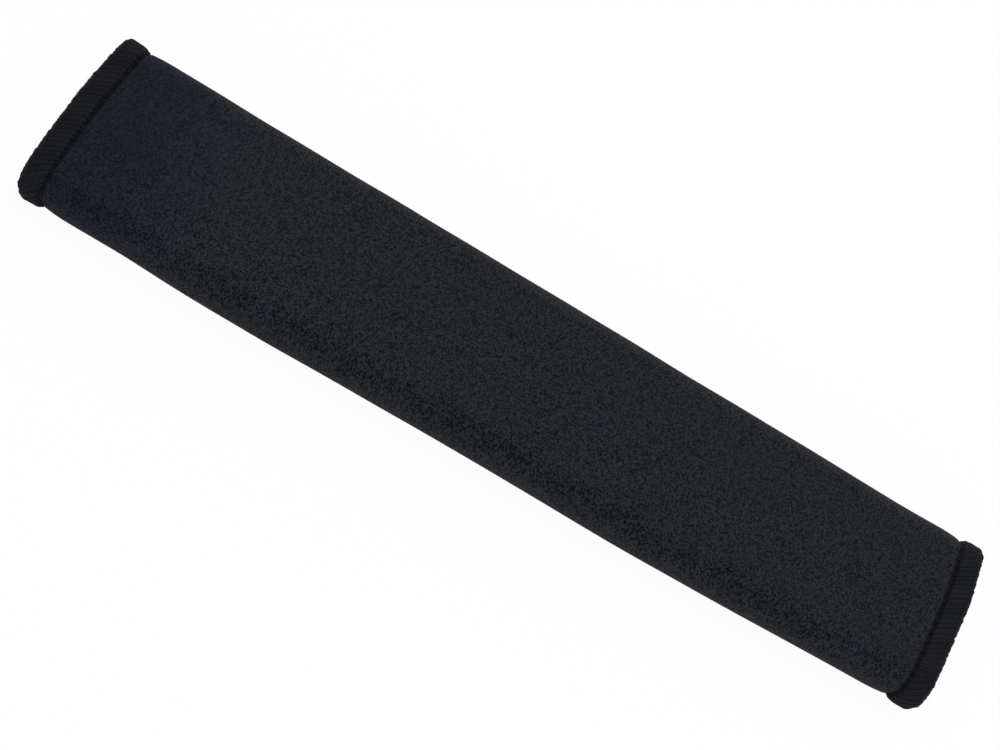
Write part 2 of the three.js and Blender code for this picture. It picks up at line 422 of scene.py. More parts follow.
# %% [markdown]
# ### A finish
#
# A finish is a material with one Principled shader. Each method adds one kind of node and gives
# back its output, so a pattern is built up in plain lines. `place` reads what a piece remembers of
# its flat form. `wear` joins the pattern to the shader: colour, roughness, and height by Bump.

# %% A finish
WIDE_TINT_START = -0.080
WIDE_TINT_FULL = -0.112


class Finish:
    def __init__(self, name, **sockets):
        self.material = bpy.data.materials.new(name)
        self.material.use_nodes = True
        self.tree = self.material.node_tree
        self.shader = self.tree.nodes["Principled BSDF"]
        for key, value in sockets.items():
            self.shader.inputs[key.replace("_", " ")].default_value = value

    def join(self, value, socket):
        if isinstance(value, Wire):
            self.tree.links.new(value.socket, socket)
        else:
            socket.default_value = value

    def node(self, kind, values=None, output=0, **settings):
        made = self.tree.nodes.new(kind)
        for key, value in settings.items():
            setattr(made, key, value)
        for key, value in (values or {}).items():
            self.join(value, made.inputs[key])
        return Wire(self, made.outputs[output])

    def parts(self, vector):
        made = self.tree.nodes.new("ShaderNodeSeparateXYZ")
        self.join(vector, made.inputs[0])
        return [Wire(self, made.outputs[i]) for i in range(3)]

    def place(self, name):
        """What a piece remembers of its flat form, as a vector and as three numbers."""
        kept = self.node("ShaderNodeAttribute", attribute_name=name, output="Vector")
        return kept, self.parts(kept)

    def vector(self, x, y, z):
        return self.node("ShaderNodeCombineXYZ", {0: x, 1: y, 2: z})

    def dice(self, vector):
        """The same random number all over one whole-numbered cell."""
        return self.node("ShaderNodeTexWhiteNoise", {"Vector": vector}, noise_dimensions="3D")

    def noise(self, vector, scale, detail=2.0, roughness=0.5):
        return self.node(
            "ShaderNodeTexNoise",
            {"Vector": vector, "Scale": scale, "Detail": detail, "Roughness": roughness},
        )

    def blend(self, share, first, second):
        return self.node(
            "ShaderNodeMix", {"Factor": share, 6: first, 7: second}, data_type="RGBA", output=2
        )

    def clamp(self, value, low, high):
        """0 at low, 1 at high, and held at 0 and 1 past them."""
        return self.node("ShaderNodeMapRange", {"Value": value, 1: low, 2: high})

    def towards_wide_end(self):
        """0 over most of the sleeve, rising to 1 at its wide end."""
        along = self.parts(self.node("ShaderNodeTexCoord", output="Object"))[0]
        return self.clamp(along, WIDE_TINT_START, WIDE_TINT_FULL)

    def wear(self, color, roughness, height, depth, strength):
        """Joins the pattern to the shader. depth is in metres."""
        bump = {"Height": height, "Distance": depth, "Strength": strength}
        self.join(color, self.shader.inputs["Base Color"])
        self.join(roughness, self.shader.inputs["Roughness"])
        self.join(self.node("ShaderNodeBump", bump), self.shader.inputs["Normal"])
        return self.material


print("a finish can do", *[name for name in vars(Finish) if name[0] != "_"])


# %% [markdown]
# ### Knitted face of the neoprene
#
# Wetsuit cloth is foam with a fine jersey knit glued on both faces. Jersey shows columns of small
# V shapes, 0.4 mm wide here. No two loops take the dye and the glue alike, so each loop rolls its
# own shade, and a fine mottle lies over them. The fibres catch light at a low angle, which is the
# pale rim that the folds have, and sheen gives it.

# %% Pattern of the knit
WALE = 0.40
COURSE = 0.33
MOTTLES_PER_MM = 3.5
PATCHES_PER_MM = 0.055
LOOP_DARK = (0.0002, 0.0006, 0.0026, 1.0)
LOOP_LIGHT = (0.0184, 0.0214, 0.0290, 1.0)
LOOP_LIGHT_AT_WIDE_END = (0.0088, 0.0124, 0.0254, 1.0)


def knit_pattern(knit, place, along, over, out):
    """The colour and the height of the knit, and its mottle."""
    wale = over / WALE
    arm = (wale.part() - 0.5).size() * 2.0
    course = along / COURSE - arm * 0.55
    loop = (course.part() * math.pi).sine() * (1.0 - arm ** 3.0)
    one_loop = knit.dice(knit.vector(wale.whole(), course.whole(), out.math("SIGN", out)))
    mottle = knit.noise(place, MOTTLES_PER_MM, 1.0, 0.6)
    slow = knit.noise(place, PATCHES_PER_MM, 2.0, 0.5)
    shade = one_loop * 3.4 + (mottle - 0.5) * 3.6 + (slow - 0.5) * 0.4 + loop * 1.3
    shade = knit.clamp(shade, 1.72, 2.92)
    light = knit.blend(knit.towards_wide_end(), LOOP_LIGHT, LOOP_LIGHT_AT_WIDE_END)
    height = loop * 0.5 + one_loop * 0.3 + mottle * 0.3
    return knit.blend(shade, LOOP_DARK, light), height, mottle


print("the loops of the knit are", WALE, "by", COURSE, "mm")


# %% [markdown]
# ### Needle grooves and cut edges
#
# Two places of the sheet look unlike its faces. Along a needle row the knit lies in a groove that
# hardly any light reaches, so shade is painted into its colour there, darkest where a stitch goes
# in.
# Where the flaps are cut, the foam shows its round cells, so a Voronoi pattern takes the place of
# the knit.

# %% Grooves, holes and cut edges
GROOVE_SHADE = (0.0036, 0.0041, 0.0060, 1.0)
GROOVE_SHADE_AT_WIDE_END = (0.0003, 0.0004, 0.0007, 1.0)
HOLE_SHADE = (0.0001, 0.0001, 0.0002, 1.0)
FOAM_DARK = (0.0022, 0.0023, 0.0025, 1.0)
FOAM_LIGHT = (0.0120, 0.0124, 0.0132, 1.0)
FOAM_CELLS_PER_MM = 7.0


def shade_grooves(knit, color, along, over):
    """Paints shade into the colour along the needle rows, darkest of all at the stitch holes."""
    beside_row = ((along.size() - (SLEEVE_LENGTH / 2 - NEEDLE_LINE)).size() - 0.35) / 0.75
    groove = knit.blend(knit.towards_wide_end(), GROOVE_SHADE, GROOVE_SHADE_AT_WIDE_END)
    color = knit.blend(knit.clamp(beside_row, 0.0, 1.0), groove, color)
    # Painted shadow in each stitch hole, where the thread goes in.
    from_hole = ((over - NEEDLE_MARGIN) / STITCH + 0.5).part() - 0.5
    at_hole = 1.0 - knit.clamp(from_hole.size(), 0.10, 0.24)
    at_hole = at_hole * (1.0 - knit.clamp(beside_row, 0.4, 0.9))
    return knit.blend(at_hole, color, HOLE_SHADE)


def neoprene_finish():
    knit = Finish(
        "knitted_neoprene", Sheen_Weight=0.05, Sheen_Roughness=0.4, Specular_IOR_Level=0.12
    )
    knit.shader.inputs["Sheen Tint"].default_value = (0.8, 0.87, 1.0, 1.0)
    place, (along, over, out) = knit.place("flat_place")
    color, height, mottle = knit_pattern(knit, place, along, over, out)
    color = shade_grooves(knit, color, along, over)
    off_edge = SHEET_WIDTH / 2 - (over - SHEET_WIDTH / 2).size()
    cells = knit.node("ShaderNodeTexVoronoi", {"Vector": place, "Scale": FOAM_CELLS_PER_MM})
    faced = knit.clamp(off_edge, 0.02, 0.10)
    color = knit.blend(faced, knit.blend(cells, FOAM_DARK, FOAM_LIGHT), color)
    height = height * faced + cells * (1.0 - faced)
    return knit.wear(color, 0.75 + mottle * 0.2, height, depth=0.0003, strength=1.0)


neoprene = neoprene_finish()
print("finish", neoprene.name)

# %% [markdown]
# ### Threads
#
# Overlock thread is bulky: many crimped filaments, hardly twisted, so it is matt and soft. Its
# colour is painted paler at the rim, as a highlight where it turns to the side light, and a little
# darker next to the needle row. Sewing thread is spun tight from plies, so it shows a slanting
# twist and shines a little. Its colour is painted dark at both ends of a stitch, as shade where it
# dives.

# %% Thread finishes
def thread_finish(name, dark, light, twist, plies, ply_depth, roughness, sheen, gloss, rim_highlight=0.0):
    thread = Finish(name, Sheen_Weight=sheen, Sheen_Roughness=0.5, Specular_IOR_Level=gloss)
    place, (along, side, up) = thread.place("thread_place")
    turn = up.angle(side)
    ply = (along * (2 * math.pi / twist) + turn * plies).sine() * 0.5 + 0.5
    drawn_out = thread.vector(along * 0.5, side * 3.0, up * 3.0)
    fibre = thread.noise(drawn_out, 2.6, 3.0, 0.65)
    tuft = thread.noise(place, 1.3, 1.0, 0.5)
    shade = thread.clamp(ply * ply_depth + fibre * 1.1 + tuft * 0.5, 0.55, 1.15)
    if rim_highlight:
        _, (tone, _, _) = thread.place("rib_tone")
        # Painted highlight: the ribs are made paler towards the rim, where they turn to the side
        # light. They are also a little darker next to the needle row.
        tucked = thread.clamp(along, 1.0, 3.0)
        at_rim = thread.clamp(along, 4.9, 6.2)
        shade = shade * (0.86 + tucked * 0.14 + at_rim * rim_highlight) + tone * 0.14
    else:
        # Painted shade: each stitch of thread is made darker at both ends, where it dives into its
        # hole.
        _, (share, _, _) = thread.place("stitch_share")
        shade = shade * (1.0 - thread.clamp((share - 0.5).size(), 0.26, 0.46) * 0.9)
    shade = shade * (1.0 - thread.towards_wide_end() * 0.16)
    color = thread.blend(shade, dark, light)
    height = ply * ply_depth + fibre * 0.9
    return thread.wear(color, roughness + fibre * 0.15, height, depth=0.00012, strength=0.8)


overlock_thread = thread_finish(
    "bulky_overlock_thread", (0.0001, 0.0002, 0.0005, 1), (0.0098, 0.0115, 0.0172, 1),
    twist=2.6, plies=2, ply_depth=0.15, roughness=0.8, sheen=0.03, gloss=0.12, rim_highlight=0.25,
)
sewing_thread = thread_finish(
    "spun_sewing_thread", (0.0003, 0.0004, 0.0006, 1), (0.0086, 0.0098, 0.0134, 1),
    twist=0.7, plies=2, ply_depth=0.5, roughness=0.6, sheen=0.01, gloss=0.08,
)
print("finishes", overlock_thread.name, sewing_thread.name)

# %% [markdown]
# ## The neoprene sheet
#
# One sheet of cloth. A grid is laid out flat, its rows are moved closer together where the shape
# changes fast, and Solidify gives it two faces. Then its thickness is shaped: squashed under the
# overlock, pulled in along the needle row, dimpled at every stitch, and rounded at the cut edges.

# %% Rows and columns of the sheet
def spread(places):
    """Joins stretches of (end, steps) into one rising list of places."""
    made = [np.array([places[0][0]])]
    for (start, _), (end, steps) in zip(places, places[1:]):
        made.append(np.linspace(start, end, steps + 1)[1:])
    return np.concatenate(made)


EDGE_BAND = 0.8
half = SLEEVE_LENGTH / 2
under_threads = GROOVE_START - 0.4
past_groove = GROOVE_END + 0.8
past_dip = TAPE_START + 2
rows = spread([
    (-half + SHEET_CUT_BACK, 0), (-half + under_threads, 5), (-half + past_groove, 14),
    (-half + past_dip, 6), (half - past_dip, 110), (half - past_groove, 6),
    (half - under_threads, 14), (half - SHEET_CUT_BACK, 5),
])
columns = spread([(0, 0), (EDGE_BAND, 5), (SHEET_WIDTH - EDGE_BAND, 220), (SHEET_WIDTH, 5)])
print(len(rows), "rows and", len(columns), "columns")

# %% [markdown]
# ### Thickness of the sheet
#
# Foam gives under thread. It is half as thick under the overlock, has a deep narrow groove at the
# needle row on both faces, with a dimple at each hole, and a shallow dip under each tape seam on
# the outer face of its flap, since the tape hides the other.

# %% Thickness of the sheet
GROOVE_DEPTH = 0.72
GROOVE_HALF_WIDTH = 0.78
HOLE_DEPTH = 0.22
HOLE_REACH = 0.6
FOLD_REACH = 6
SHOULDER_DIP = 0.1
SHOULDER_REACH = 1.8
SEAM_DIP, SEAM_HOLE, SEAM_REACH = 0.3, 0.15, 0.42
SEAM_HOLLOW, SEAM_HOLLOW_REACH = 0.05, 1.4
CUT_EDGE_ROUNDING = 0.5
OUTER_SEAMS = [OUTER_FLAP_EDGE - y for y in SEAM_LINES]
INNER_SEAMS = [SHEET_WIDTH - (y - INNER_FLAP_EDGE) for y in SEAM_LINES]


def stitch_hole(run):
    """1 at each stitch hole of a row, falling to 0 between the holes."""
    return (0.5 + 0.5 * np.cos(2 * np.pi * run / STITCH)) ** 3


def groove_depth(x, u):
    """Deep on the flat faces, shallow where the cloth is stretched round a fold."""
    near_middle = NEAR_FOLD_AT + np.pi * FOLD_RADIUS / 2
    far_middle = FAR_FOLD_AT - np.pi * FOLD_RADIUS / 2
    on_fold = bell(u - near_middle, FOLD_REACH) + bell(u - far_middle, FOLD_REACH)
    return GROOVE_DEPTH * np.where(x < 0, 1 - 0.7 * on_fold, 0.82 - 0.2 * on_fold)


def half_thickness(x, u, outside):
    end = from_end(x)
    body = smooth(end, GROOVE_START - 0.2, GROOVE_START + 0.3)
    depth = 0.5 + 0.5 * body
    groove = np.exp(-(np.abs((end - NEEDLE_LINE) / GROOVE_HALF_WIDTH) ** 3.5))
    hole = bell(end - NEEDLE_LINE, HOLE_REACH) * stitch_hole(u - NEEDLE_MARGIN)
    depth = depth - groove_depth(x, u) * (groove + HOLE_DEPTH / GROOVE_DEPTH * hole)
    depth = depth - SHOULDER_DIP * bell(end - GROOVE_END - 0.4, SHOULDER_REACH) * body
    seam_depth = SEAM_DIP + SEAM_HOLE * stitch_hole(x - SEAM_START)
    for seams, face in ((OUTER_SEAMS, outside), (INNER_SEAMS, ~outside)):
        for seam in seams:
            dip = bell(u - seam, SEAM_REACH) * seam_depth
            hollow = bell(u - seam, SEAM_HOLLOW_REACH) * SEAM_HOLLOW
            depth = depth - (dip + hollow) * body * face
    edge = np.clip(np.minimum(u, SHEET_WIDTH - u) / CUT_EDGE_ROUNDING, 0, 1)
    return depth * (0.55 + 0.45 * np.sqrt(1 - (1 - edge) ** 2))


print("the grooves are", GROOVE_DEPTH, "mm deep and", 2 * GROOVE_HALF_WIDTH, "mm wide")


# %% [markdown]
# ### Laid out, thickened and wrapped
#
# The grid's points are even at first, so each is moved to its row and its column. Solidify makes
# the second face 1 above and below the middle, and the thickness is scaled to the shape wanted.
# A cloth simulation isn't needed: the cloth's place in each layer is known, and `wrap` gives it.

# %% Lay out, thicken and wrap the sheet
def flat_grid(name, along, over, size=1, place=(0, 0, 0)):
    start_clean()
    bpy.ops.mesh.primitive_grid_add(
        x_subdivisions=along, y_subdivisions=over, size=size, location=place
    )
    bpy.context.object.name = name
    return bpy.context.object


sheet = flat_grid("neoprene_sheet_wrapped", len(rows) - 1, len(columns) - 1)
flat = points_of(sheet)
flat[:, 0] = rows[np.rint((flat[:, 0] + 0.5) * (len(rows) - 1)).astype(int)]
flat[:, 1] = columns[np.rint((flat[:, 1] + 0.5) * (len(columns) - 1)).astype(int)]
place_points(sheet, flat)
apply_modifier(sheet, "SOLIDIFY", thickness=1.0, offset=0.0, use_even_offset=False)
flat = points_of(sheet)
outside = flat[:, 2] > 0
flat[:, 2] = np.where(outside, 1, -1) * half_thickness(flat[:, 0], flat[:, 1], outside)
place_points(sheet, wrap(flat) * MM)
remember(sheet, "flat_place", flat)
finish_piece(sheet, "neoprene_sheet", neoprene)

# %% [markdown]
# ## Threads
#
# A thread starts as a disc that is extruded into a straight tube, one ring for each point of its
# path. Then each ring is carried to its point and turned square to the path. `section` gives the
# outline of the thread: the bulky thread is wide and flat, the sewing thread round.

# %% A thread along a path
def round_section(radius, count=8):
    turn = 2 * np.pi * np.arange(count) / count
    return [(float(radius * np.cos(a)), float(radius * np.sin(a))) for a in turn]


def straight_thread(name, section, rings):
    start_clean()
    bpy.ops.mesh.primitive_circle_add(
        vertices=len(section), radius=1, fill_type="NGON", rotation=(0, math.pi / 2, 0)
    )
    thread = bpy.context.object
    thread.name = name
    bpy.ops.object.transform_apply(location=False, rotation=True, scale=False)
    place_points(thread, np.array([[0, side, up] for side, up in section]))
    bpy.ops.object.mode_set(mode="EDIT")
    bpy.ops.mesh.select_all(action="SELECT")
    for _ in range(rings - 1):
        bpy.ops.mesh.extrude_region_move(TRANSFORM_OT_translate={"value": (1, 0, 0)})
    bpy.ops.object.mode_set(mode="OBJECT")
    return thread


def follow(thread, path, widths=None):
    straight = points_of(thread)
    ring = np.rint(straight[:, 0]).astype(int)
    heading = np.gradient(path, axis=0)
    heading /= np.linalg.norm(heading, axis=1)[:, None]
    over = np.array([0.0, 1.0, 0.0])
    if np.abs(heading[:, 1]).mean() > 0.7:
        over = np.array([1.0, 0.0, 0.0])
    side = over - heading * (heading @ over)[:, None]
    side /= np.linalg.norm(side, axis=1)[:, None]
    up = np.cross(heading, side)
    up *= np.sign(up[len(up) // 2, 2]) or 1
    size = np.ones(len(path)) if widths is None else np.asarray(widths)
    run = np.r_[0, np.cumsum(np.linalg.norm(np.diff(path, axis=0), axis=1))]
    spread_side = (straight[:, 1] * size[ring])[:, None]
    spread_up = (straight[:, 2] * size[ring])[:, None]
    laid = path[ring] + side[ring] * spread_side + up[ring] * spread_up
    place_points(thread, laid)
    remember(thread, "thread_place", np.stack([run[ring], straight[:, 1], straight[:, 2]], axis=1))


print("a round thread has", len(round_section(1)), "sides")


# %% [markdown]
# ### Overlocked ends
#
# On each face the looper thread crosses from the needle row to the rim and back, once for every
# stitch, and each crossing spreads into two flat bundles of filament. That makes four ribs to a
# stitch, which are drawn together at the rim and give it its scallops. One rib is modelled on the
# flat cloth, and Array lays the others beside it.

# %% One rib of the looper thread
RIBS = 4
RIB_PITCH = STITCH / RIBS
RIB_WIDTH = 0.78
RIB_THICKNESS = 0.56
RIB_LEVEL = 0.97
SLANT = 0.6
SLANT_FROM = 0.8
SLANT_FADE = 10


def rib_section(count=10):
    """A flattened round, a little squarer than an oval."""
    turn = 2 * np.pi * np.arange(count) / count
    side = 0.5 * RIB_WIDTH * np.cos(turn)
    up = 0.5 * RIB_THICKNESS * np.sign(np.sin(turn)) * np.abs(np.sin(turn)) ** 0.85
    return [(float(a), float(b)) for a, b in zip(side, up)]


def rib_lean(inwards, end):
    """How far a rib leans along the rim at each distance inwards from it."""
    return -end * SLANT * (np.maximum(inwards, SLANT_FROM) - SLANT_FROM)


def rib_path(end, face):
    """From under the needle thread to halfway round the rim. face is 1 outside and -1 inside."""
    turn = np.linspace(0, np.pi / 2, 7)
    level = RIB_LEVEL
    tucked = OVERLOCK_WIDTH + np.array([0.4, 0.36, 0.15, -0.4, -1.3, -2.1, -3.0])
    inwards = np.r_[tucked, 0.95 - 0.98 * np.sin(turn)]
    crown = [level, level + 0.04, level + 0.03, level]
    out = np.r_[0.0, 0.4, 0.88, crown, level * np.cos(turn)]
    x = end * (SLEEVE_LENGTH / 2 - inwards)
    return np.stack([x, rib_lean(inwards, end), face * out], axis=1)


print("a rib has", len(rib_path(1, 1)), "rings of", len(rib_section()), "points")


# %% [markdown]
# ### Each rib in its own place
#
# Copies that are all alike look stamped. So each rib moves a little to the side, up and out at the
# rim by sines of its number, which look random and are the same on every run. The ribs lean most
# on the flat faces and stand upright towards the two cut edges, where there is no room to lean.

# %% Each rib in its own place
PAIR_SHIFT = 0.08
SIDE_JITTER = 0.05
GATHER = 0.06
HEIGHT_JITTER, PAIR_HEIGHT = 0.05, 0.03
SCALLOP, REACH_JITTER = 0.12, 0.05
CUT_EDGE_MARGIN = 0.02


def lean_ribs(flat, number, count, end):
    """Sets each rib at its place on the cut edge, and leans it."""
    start = (number + 0.5) * (SHEET_WIDTH / count)
    lean = rib_lean(from_end(flat[:, 0]), end)
    own = flat[:, 1] - number * RIB_PITCH - lean
    upright = np.clip(np.minimum(start, SHEET_WIDTH - start) / SLANT_FADE, 0, 1)
    fade = np.where(upright < 1, np.sign(SHEET_WIDTH / 2 - start) / SLANT_FADE, 0)
    flat[:, 1] = start + lean * upright + own * np.clip(1 + lean * fade, 0.75, 1.3)


def unsettle_ribs(flat, number, end, face):
    """Moves each rib by its own small amounts, and gathers the ribs of a stitch at the rim."""
    shifted = number + (0 if face > 0 else RIBS // 2)
    in_stitch = shifted % RIBS - (RIBS - 1) / 2
    rim = 1 - smooth(from_end(flat[:, 0]), 0.3, 2.4)
    jitter = np.sin(number * 12.9898 + end * 3.1 + face * 1.7)
    second = np.sin(number * 4.137 + end * 1.3 - face * 2.9)
    uneven = np.sin(shifted // RIBS * 2.71 + end * 0.7)
    beside = np.where(number % 2, 1, -1)
    flat[:, 1] -= (PAIR_SHIFT * beside - SIDE_JITTER * jitter) * (1 - rim)
    flat[:, 1] -= GATHER * (1 + 0.5 * uneven) * in_stitch * rim
    over_cloth = smooth(np.abs(flat[:, 2]), 0.2, 0.7)
    flat[:, 2] += face * over_cloth * (HEIGHT_JITTER * second + PAIR_HEIGHT * beside)
    reach = SCALLOP * np.cos(np.pi * in_stitch / RIBS * 2) * (1 + 0.6 * uneven)
    flat[:, 0] += end * rim * (reach + REACH_JITTER * second)
    flat[:, 1] = np.clip(flat[:, 1], CUT_EDGE_MARGIN, SHEET_WIDTH - CUT_EDGE_MARGIN)
    return np.stack([0.7 * jitter + 0.3 * beside, second, uneven], axis=1)


print(RIBS, "ribs to a stitch,", RIB_PITCH, "mm apart")


# %% [markdown]
# ### All ribs on one face of one end
#
# Array lays the copies side by side, and their numbers follow from the order of their points.
# Each rib remembers a tone, by which its material makes one bundle a little paler than the next.

# %% All ribs on one face of one end
def lay_row(thread, count, step):
    """Copies a piece in a row, and says which copy each point belongs to."""
    one = len(thread.data.vertices)
    apply_modifier(
        thread, "ARRAY", count=count, use_relative_offset=False, use_constant_offset=True,
        constant_offset_displace=step,
    )
    return np.arange(len(thread.data.vertices)) // one


def looper_ribs(name, node, end, face):
    path = rib_path(end, face)
    widths = np.r_[0.6, 0.8, 0.95, np.ones(len(path) - 8), [1.02, 1.05, 1.08, 1.1, 1.1]]
    thread = straight_thread(name, rib_section(), len(path))
    follow(thread, path, widths)
    count = RIBS * int(SHEET_WIDTH / STITCH)
    number = lay_row(thread, count, (0, RIB_PITCH, 0))
    flat = points_of(thread)
    lean_ribs(flat, number, count, end)
    tones = unsettle_ribs(flat, number, end, face)
    place_points(thread, wrap(flat) * MM)
    remember(thread, "rib_tone", tones)
    finish_piece(thread, node, overlock_thread)


for end_name, end in ENDS:
    looper_ribs(f"{end_name}_outer_ribs", f"{end_name}_upper_looper_thread", end, 1)
    looper_ribs(f"{end_name}_inner_ribs", f"{end_name}_lower_looper_thread", end, -1)

# %% [markdown]
# ### The strand along the rim
#
# The two looper threads catch each other just off the rim, once for every crossing. That leaves a
# wavy strand along the rim, with tiny gaps behind it that let light through. It is a straight
# thread that follows a wave.

# %% Wavy strand along the rim
RIM_WAVE = STITCH / 2
STEPS_TO_A_WAVE = 6
RIM_THREAD_RADIUS = 0.19
RIM_THREAD_OFF = 0.08
RIM_WAVE_OUT = {-1: 0.05, 1: 0.09}
RIM_WAVE_UP = 0.22
RIM_MARGIN = 0.4


def rim_strand(name, node, end):
    count = int(SHEET_WIDTH / RIM_WAVE)
    rings = count * STEPS_TO_A_WAVE + 1
    over = np.linspace(RIM_MARGIN, SHEET_WIDTH - RIM_MARGIN, rings)
    phase = np.linspace(0, 2 * np.pi * count, rings)
    uneven = 1 + 0.5 * np.sin(over / 1.9 + end) * np.sin(over / 3.1)
    outwards = RIM_THREAD_OFF + RIM_WAVE_OUT[end] * (1 - np.cos(phase)) * uneven
    x = end * (SLEEVE_LENGTH / 2 + outwards)
    path = np.stack([x, over, RIM_WAVE_UP * np.sin(phase)], axis=1)
    thread = straight_thread(name, round_section(RIM_THREAD_RADIUS, 6), rings)
    follow(thread, path)
    place_points(thread, wrap(points_of(thread)) * MM)
    finish_piece(thread, node, overlock_thread)


for end_name, end in ENDS:
    rim_strand(f"{end_name}_rim_strand", f"{end_name}_upper_looper_thread", end)


# %% [markdown]
# ### Needle rows and tape seams
#
# A sewing thread lies on the cloth for most of a stitch and dives at each hole. One stitch is
# modelled, and Array lays the row. Stitches of the needle row run across the cloth, those of the
# tape seams run along it.

# %% One stitch and a row of them
STITCH_RINGS = 11


def sewn_row(name, node, radius, top, dive, place_row, count):
    """A row of stitches. place_row turns points (run, side, out) of the row into the flat cloth."""
    share = np.linspace(0, 1, STITCH_RINGS)
    rise = np.clip(np.sin(np.pi * share), 0, 1) ** 0.9
    path = np.stack([share * STITCH, 0 * share, dive + (top - dive) * rise], axis=1)
    thread = straight_thread(name, round_section(radius), len(path))
    follow(thread, path)
    number = lay_row(thread, count, (STITCH, 0, 0))
    row = points_of(thread)
    share = row[:, 0] / STITCH - number
    row[:, 1] += 0.04 * np.sin(number * 7.31) + 0.05 * (share - 0.5)
    row[:, 2] += 0.02 * np.sin(number * 3.77)
    remember(thread, "stitch_share", np.stack([share, number, row[:, 1]], axis=1))
    place_points(thread, wrap(place_row(row)) * MM)
    finish_piece(thread, node, sewing_thread)


print("a stitch has", STITCH_RINGS, "rings")


# %% [markdown]
# ### Needle rows of the overlock
#
# These threads run across the cloth, down in their grooves, so each point's height starts from the
# bottom of the groove. The dark line beside each band of ribs is this row.

# %% Needle rows of the overlock
NEEDLE_THREAD = {"radius": 0.19, "top": 0.26, "dive": -0.6}


def needle_row(end):
    def place_row(row):
        x = end * (SLEEVE_LENGTH / 2 - NEEDLE_LINE) + row[:, 1]
        u = np.clip(row[:, 0] + NEEDLE_MARGIN, 0.1, SHEET_WIDTH - 0.1)
        return np.stack([x, u, 1 - groove_depth(x, u) + row[:, 2]], axis=1)
    return place_row


for end_name, end in ENDS:
    sewn_row(
        f"{end_name}_needle_stitches", f"{end_name}_needle_thread", **NEEDLE_THREAD,
        place_row=needle_row(end), count=NEEDLE_STITCHES,
    )

# %% [markdown]
# ### Seams of the tapes
#
# A lockstitch has two threads. The needle thread shows on the tape, and the bobbin thread shows on
# the far face of the neoprene. Both dive at the same holes, and each is a row of its own.

# %% Seams of the tapes
BOBBIN_SEAM_THREAD = {"radius": 0.15, "top": 0.83, "dive": 0.45}
NEEDLE_SEAM_THREAD = {"radius": 0.15, "top": 1.62, "dive": 1.15}


def flap_row(across_at, out_sign):
    def place_row(row):
        x = SEAM_START + row[:, 0]
        return np.stack([x, across_at + row[:, 1], out_sign * row[:, 2]], axis=1)
    return place_row


for i, side in enumerate(("near", "far")):
    for tape, seams, sewn_face in (("hook_tape", OUTER_SEAMS, 1), ("loop_tape", INNER_SEAMS, -1)):
        for kind, thread_sizes, face in (
            ("bobbin", BOBBIN_SEAM_THREAD, sewn_face), ("needle", NEEDLE_SEAM_THREAD, -sewn_face),
        ):
            sewn_row(
                f"{tape}_{side}_{kind}_stitches", f"{tape}_{side}_seam_{kind}_thread",
                **thread_sizes, place_row=flap_row(seams[i], face), count=SEAM_STITCHES,
            )

# %% [markdown]
# ## Hook and loop tapes
#
# Both tapes lie between the two flaps, and only their ends show from outside. Each is a woven
# backing with a bare selvedge along each edge, where it is sewn, and a field of hooks or loops
# between. Such a field could be painted as bump, but then its hooks would be gone from the mesh.

# %% Sizes of the tapes
TAPE_WIDTH = 16
TAPE_LENGTH = 230.4
TAPE_SEAT = 1.02
BACKING = 0.48
SELVEDGE = 2
print("each tape is", TAPE_WIDTH, "by", TAPE_LENGTH, "mm")

# %% [markdown]
# ### Finish of a tape
#
# A tape is woven of fine threads, and its hooks or loops are bare filament with more gloss. It is
# all one black nylon, so one material does both and tells them apart by their height.

# %% Finish of a tape
WEAVE_ALONG = 0.46
WEAVE_ACROSS = 0.52
WEAVE_DARK = (0.0018, 0.0020, 0.0026, 1)
WEAVE_LIGHT = (0.0150, 0.0160, 0.0190, 1)


def tape_finish(name, dark, light, roughness):
    """A plain weave low down, and bare filament on all that stands above it."""
    tape = Finish(name, Sheen_Weight=0.03, Specular_IOR_Level=0.3)
    place, (along, over, height) = tape.place("tape_place")
    warp = (along * (2 * math.pi / WEAVE_ALONG)).sine()
    weave = warp * (over * (2 * math.pi / WEAVE_ACROSS)).sine()
    fibre = tape.noise(place, 5.0, 3.0, 0.6)
    standing = tape.clamp(height, BACKING + 0.02, BACKING + 0.08)
    threads = tape.clamp(weave * 0.4 + fibre, 0.1, 1.0)
    woven = tape.blend(threads, WEAVE_DARK, WEAVE_LIGHT)
    color = tape.blend(standing, woven, tape.blend(fibre, dark, light))
    relief = (weave * 0.5 + fibre * 0.4) * (1.0 - standing)
    return tape.wear(color, 0.85 - standing * roughness, relief, depth=0.00008, strength=0.8)


print("the weave repeats every", WEAVE_ALONG, "mm along a tape")


# %% [markdown]
# ### Woven backing
#
# The backing is a flat strip with rounded edges. Its seams press it down, so it needs a point every
# 2 mm along and every quarter of a millimetre across.

# %% Woven backing
BACKING_ROWS = 114
BACKING_COLUMNS = 64
SEAM_PRESS, HOLE_PRESS, PRESS_REACH = 0.06, 0.12, 0.35
TAPE_EDGE_ROUNDING = 0.4


def woven_backing(name):
    strip = flat_grid(name, BACKING_ROWS, BACKING_COLUMNS)
    place_points(strip, points_of(strip) * [TAPE_LENGTH, TAPE_WIDTH, 1])
    apply_modifier(strip, "SOLIDIFY", thickness=1.0, offset=0.0, use_even_offset=False)
    flat = points_of(strip)
    edge = np.clip((TAPE_WIDTH / 2 - np.abs(flat[:, 1])) / TAPE_EDGE_ROUNDING, 0, 1)
    height = BACKING * (0.5 + 0.5 * np.sqrt(1 - (1 - edge) ** 2))
    for line in SEAM_LINES:
        sewn = bell(flat[:, 1] - line + OVERLAP_CENTRE, PRESS_REACH)
        press = SEAM_PRESS + HOLE_PRESS * stitch_hole(flat[:, 0] - SEAM_START)
        height = height - sewn * press
    flat[:, 2] = np.where(flat[:, 2] > 0, height, 0)
    place_points(strip, flat)
    return strip


